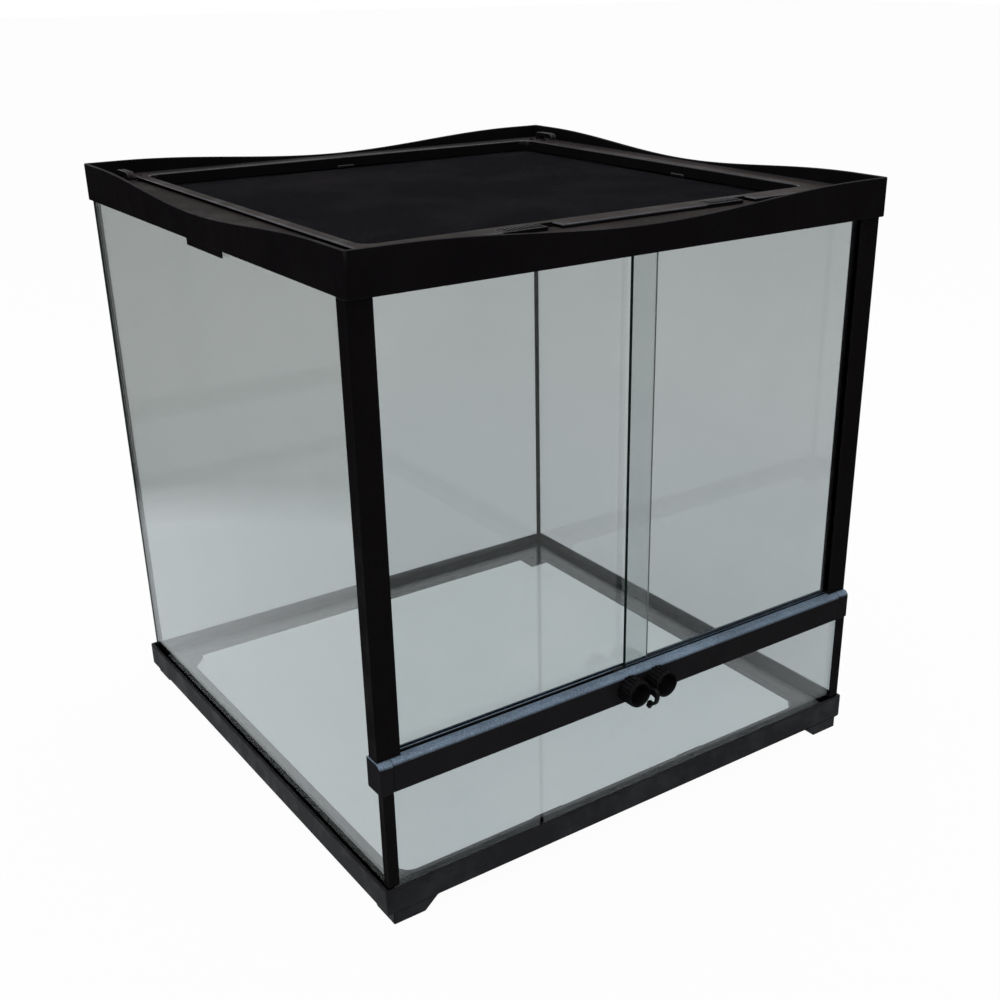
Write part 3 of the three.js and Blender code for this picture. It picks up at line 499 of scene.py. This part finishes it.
def siliconeMaterial(values):
    material, tree, shader = newMaterial("siliconeBead", **{"Specular IOR Level": values["reflect"]})
    dustAndSheen = useGroup(tree, dustAndSheenGroup, {
        "Base": (*values["base"], 1), "DustAndSheenColour": (*values["dustAndSheen"], 1),
        "Amount": values["amount"], "Everywhere": values["everywhere"]})
    tree.links.new(dustAndSheen.outputs["Colour"], shader.inputs["Base Color"])
    wave = addNoise(tree, objectPoint(tree), *values["wave"])
    rough = addRange(tree, wave, *values["waveRange"], *values["roughness"])
    tree.links.new(rough, shader.inputs["Roughness"])
    addBump(tree, shader, wave, values["waveStrength"], values["waveDepth"])
    return material


wireValues = {
    "under": (0.0012, 0.0011, 0.0014),
    # the two pale colours are a painted highlight on the wires' upward facets
    "top": (0.036, 0.036, 0.042),
    "paleTop": (0.060, 0.056, 0.058),
    "wear": (11.0, 4.0),         # noise scale and detail
    "wearRange": (0.45, 0.75),
    "upward": (0.9965, 0.9995),  # the normal's Z over which the dark wire turns to the painted top highlight
    "reflect": 0.0,
    "roughRange": (0.3, 0.7),
    "roughness": (0.35, 0.5),
}


def wireMaterial(values):  # painted highlight: the wires' upward facets are pale, and paler in patches
    material, tree, shader = newMaterial("meshWire", **{"Specular IOR Level": values["reflect"]})
    wear = addNoise(tree, objectPoint(tree), *values["wear"])
    top = addMix(tree, addRange(tree, wear, *values["wearRange"]),
                 (*values["top"], 1), (*values["paleTop"], 1))
    normal = addNode(tree, "ShaderNodeTexCoord").outputs["Normal"]
    upward = addNode(tree, "ShaderNodeSeparateXYZ", {0: normal}).outputs["Z"]
    colour = addMix(tree, addRange(tree, upward, *values["upward"]), (*values["under"], 1), top)
    tree.links.new(colour, shader.inputs["Base Color"])
    rough = addRange(tree, wear, *values["roughRange"], *values["roughness"])
    tree.links.new(rough, shader.inputs["Roughness"])
    return material


# both colours are far darker than steel: painted shade of the knob hollows where the screws sit
steelValues = {
    "bright": (0.07, 0.06, 0.062),
    "dull": (0.03, 0.026, 0.027),
    "scuffScale": 12.0,
    "roughness": (0.3, 0.5),
}


def steelMaterial(values):
    material, tree, shader = newMaterial("screwSteel", Metallic=1.0)
    scuff = useGroup(tree, scuffGroup, {"Amount": 1.0, "Scale": values["scuffScale"]})
    mask = scuff.outputs["Mask"]
    colour = addMix(tree, mask, (*values["bright"], 1), (*values["dull"], 1))
    tree.links.new(colour, shader.inputs["Base Color"])
    tree.links.new(addRange(tree, mask, 0.0, 1.0, *values["roughness"]), shader.inputs["Roughness"])
    return material


plastics = {name: plasticMaterial(name, values, plasticShared)
            for name, values in plasticValues.items()}
glasses = {name: glassMaterial(name, values) for name, values in glassValues.items()}
glassEdges = {name: glassEdgeMaterial(name, values, glassEdgeShared)
              for name, values in glassEdgeValues.items()}
silicone = siliconeMaterial(siliconeValues)
meshWire = wireMaterial(wireValues)
screwSteel = steelMaterial(steelValues)
print("materials made")

# Pieces


def copyOf(node, suffix):  # a new piece with a copy of the node's mesh, in the node's place
    mesh = nodes[node].data.copy()
    mesh.name = node + suffix
    piece = bpy.data.objects.new(node + suffix, mesh)
    mesh.materials.clear()
    bpy.context.scene.collection.objects.link(piece)
    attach(piece, bodyOf[node])
    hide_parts(node)
    return piece


joinValues = {
    "merge": 1e-6,               # metres, points closer than this are one
    "flat": 0.01,                # radians, faces closer than this are one plane
    "shape": 3.2,                # radians, so triangles of any shape join
}


def cleanMesh(mesh):  # joins pairs of triangles on each flat face
    work = bmesh.new()
    work.from_mesh(mesh)
    bmesh.ops.remove_doubles(work, verts=work.verts, dist=joinValues["merge"])
    bmesh.ops.join_triangles(work, faces=work.faces, angle_face_threshold=joinValues["flat"],
                             angle_shape_threshold=joinValues["shape"])
    work.to_mesh(mesh)
    work.free()


mouldedValues = {
    # node: (face finish, edge finish that paints a highlight line, edge radius in metres)
    "base_frame": ("basePlastic", "frameEdge", 0.0007),
    "top_frame": ("framePlastic", "frameEdge", 0.0006),
    "upper_door_track": ("framePlastic", "frameEdge", 0.0003),
    "padlock_hook": ("knobPlastic", "frameEdge", 0.0004),
    "left_front_post": ("framePlastic", "frameEdge", 0.0005),
    "right_front_post": ("framePlastic", "frameEdge", 0.0005),
    "left_door_jamb": ("framePlastic", "frameEdge", 0.0004),
    "right_door_jamb": ("framePlastic", "frameEdge", 0.0004),
    "left_corner_strip": ("framePlastic", "frameEdge", 0.0005),
    "right_corner_strip": ("framePlastic", "frameEdge", 0.0005),
    "left_door_shoe": ("framePlastic", "frameEdge", 0.0003),
    "right_door_shoe": ("framePlastic", "frameEdge", 0.0003),
    "left_lock_knob": ("knobPlastic", "knobPlastic", 0.00018),
    "right_lock_knob": ("knobPlastic", "knobPlastic", 0.00018),
    "left_lock_spindle": ("knobPlastic", "frameEdge", 0.0002),
    "right_lock_spindle": ("knobPlastic", "frameEdge", 0.0002),
    "mesh_retainer": ("framePlastic", "frameEdge", 0.0004),
    "door_rail": ("railPlastic", "railPlastic", 0.00015),
    "left_rail_cap": ("railPlastic", "railPlastic", 0.00015),
    "right_rail_cap": ("railPlastic", "railPlastic", 0.00015),
    "left_hinge_hook": ("glossPlastic", "glossEdge", 0.0005),
    "right_hinge_hook": ("glossPlastic", "glossEdge", 0.0005),
    "lid_frame": ("glossPlastic", "glossEdge", 0.0010),
    "left_lid_latch": ("glossPlastic", "glossEdge", 0.0003),
    "right_lid_latch": ("glossPlastic", "glossEdge", 0.0003),
}
roundingValues = {
    "segments": 2,
    "angle": 32,                 # degrees, edges sharper than this are rounded
    "alongAxis": 0.9999,         # a face whose normal has a part this large is shaded flat
}


def makeMoulded(node, face, edge, radius, rounding):
    piece = copyOf(node, "_moulded")
    cleanMesh(piece.data)
    piece.data.materials.append(plastics[face])
    piece.data.materials.append(plastics[edge])
    for polygon in piece.data.polygons:  # faces along an axis are flat, the rest may be curved
        polygon.use_smooth = max(abs(part) for part in polygon.normal) < rounding["alongAxis"]
    bevel = piece.modifiers.new("roundedEdges", "BEVEL")
    bevel.width = radius
    bevel.segments = rounding["segments"]
    bevel.limit_method = "ANGLE"
    bevel.angle_limit = math.radians(rounding["angle"])
    bevel.harden_normals = True
    bevel.use_clamp_overlap = False
    # the rounded edges take the edge finish, which paints a highlight line
    bevel.material = 1


for mouldedNode, mouldedSet in mouldedValues.items():
    makeMoulded(mouldedNode, *mouldedSet, roundingValues)
print("moulded pieces made:", len(mouldedValues))

paneValues = {
    # node: (glass, edges)
    "left_glass": ("wallGlass", "darkEdge"),
    "right_glass": ("backGlass", "darkEdge"),
    "back_glass": ("backGlass", "darkEdge"),
    "front_lower_glass": ("lowerGlass", "darkEdge"),
    "floor_glass": ("floorGlass", "darkEdge"),
    "left_door_glass": ("doorGlass", "brightEdge"),
    "right_door_glass": ("doorGlass", "darkEdge"),
}
paneShared = {
    "chamfer": 0.0003,           # metres
    "facing": 0.99,              # a normal with this much across the pane belongs to its faces
}


def makePane(node, glass, edge, shared):
    piece = copyOf(node, "_pane")
    work = bmesh.new()
    work.from_mesh(piece.data)
    bmesh.ops.remove_doubles(work, verts=work.verts, dist=joinValues["merge"])
    bmesh.ops.dissolve_limit(work, angle_limit=joinValues["flat"], verts=work.verts, edges=work.edges)
    bmesh.ops.bevel(work, geom=work.edges, offset=shared["chamfer"], segments=1, affect="EDGES")
    low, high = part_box(node)
    size = high - low
    across = min(range(3), key=lambda axis: size[axis])
    for face in work.faces:
        face.material_index = 0 if abs(face.normal[across]) > shared["facing"] else 1
    work.to_mesh(piece.data)
    work.free()
    piece.data.materials.append(glasses[glass])
    piece.data.materials.append(glassEdges[edge])


for paneNode, paneSet in paneValues.items():
    makePane(paneNode, *paneSet, paneShared)
print("panes made:", len(paneValues))

beadValues = {
    "step": 0.004,               # metres between cuts
    "swell": 0.0005,             # metres, most that a bead rises or sinks
    "grain": 55.0,               # noise scale
    "fixed": 0.0004,             # metres from the glued faces that stay as they are
    "inside": (0, 0, 0.24),      # a point in the cabin, which the beads face
}


def makeBead(node, values):  # a silicone bead, cut into short lengths and made uneven where it shows
    piece = copyOf(node, "_bead")
    piece.data.materials.append(silicone)
    low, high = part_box(node)
    size = high - low
    along = max(range(3), key=lambda axis: size[axis])
    cleanMesh(piece.data)
    work = bmesh.new()
    work.from_mesh(piece.data)
    axis = Vector([1.0 if index == along else 0.0 for index in range(3)])
    count = int(size[along] / values["step"])
    for cut in range(1, count):
        point = low + axis * (size[along] * cut / count)
        geometry = work.verts[:] + work.edges[:] + work.faces[:]
        bmesh.ops.bisect_plane(work, geom=geometry, plane_co=point, plane_no=axis)
    towards = Vector(values["inside"]) - (low + high) / 2
    inward = Vector([0.0 if index == along else math.copysign(1.0, towards[index])
                     for index in range(3)])
    corner = Vector([low[index] if inward[index] > 0 else high[index] for index in range(3)])
    for vertex in work.verts:
        fromCorner = vertex.co - corner
        reach = [abs(fromCorner[index]) for index in range(3) if index != along]
        if min(reach) > values["fixed"]:
            vertex.co += inward * values["swell"] * noise.noise(vertex.co * values["grain"])
    bmesh.ops.recalc_face_normals(work, faces=work.faces)
    work.to_mesh(piece.data)
    work.free()
    piece.data.polygons.foreach_set("use_smooth", [True] * len(piece.data.polygons))


for beadNode in ("floor_seal_back", "floor_seal_front", "floor_seal_left", "floor_seal_right",
                 "back_left_seal", "back_right_seal"):
    makeBead(beadNode, beadValues)
print("silicone beads made")

meshValues = {
    "pitch": 0.0030,             # metres from wire to wire
    "width": 0.0024,             # metres, of a flattened wire
    "height": 0.0004,            # metres
    "sides": 12,                 # a multiple of four
}


def addWire(points, faces, start, end, values):
    along = (end - start).normalized()
    side = along.cross(Vector((0, 0, 1))) * values["width"] / 2
    sides = values["sides"]
    flat = math.sin(math.pi * (0.5 - 1 / sides))  # height of the upper flat on a circle of radius 1
    rise = Vector((0, 0, values["height"] / 2 / flat))
    base = len(points)
    for place in (start, end):
        for index in range(sides):
            angle = (index + 0.5) / sides * math.tau
            points.append(place + side * math.cos(angle) + rise * math.sin(angle))
    for index in range(sides):
        following = (index + 1) % sides
        faces.append((base + index, base + following, base + sides + following, base + sides + index))
    faces.append(tuple(base + index for index in reversed(range(sides))))
    faces.append(tuple(base + sides + index for index in range(sides)))


def makeLidMesh(values):
    low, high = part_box("lid_mesh")
    rise = values["height"] / 2
    points, faces = [], []
    for across, level in ((0, low.z + rise), (1, high.z - rise)):
        first, last = low[across] + values["width"] / 2, high[across] - values["width"] / 2
        count = round((last - first) / values["pitch"])
        other = 1 - across
        for wire in range(count + 1):
            start, end = Vector((0, 0, level)), Vector((0, 0, level))
            start[across] = end[across] = first + (last - first) * wire / count
            start[other], end[other] = low[other], high[other]
            addWire(points, faces, start, end, values)
    mesh = bpy.data.meshes.new("lid_mesh_wires")
    mesh.from_pydata(points, [], faces)
    work = bmesh.new()
    work.from_mesh(mesh)
    bmesh.ops.recalc_face_normals(work, faces=work.faces)
    work.to_mesh(mesh)
    work.free()
    mesh.materials.append(meshWire)
    piece = bpy.data.objects.new("lid_mesh_wires", mesh)
    bpy.context.scene.collection.objects.link(piece)
    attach(piece, bodyOf["lid_mesh"])
    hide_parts("lid_mesh")


makeLidMesh(meshValues)
print("lid mesh made")

for screwNode in ("left_lock_screw", "right_lock_screw"):
    nodes[screwNode].data.materials.clear()
    nodes[screwNode].data.materials.append(screwSteel)
print("screws finished")
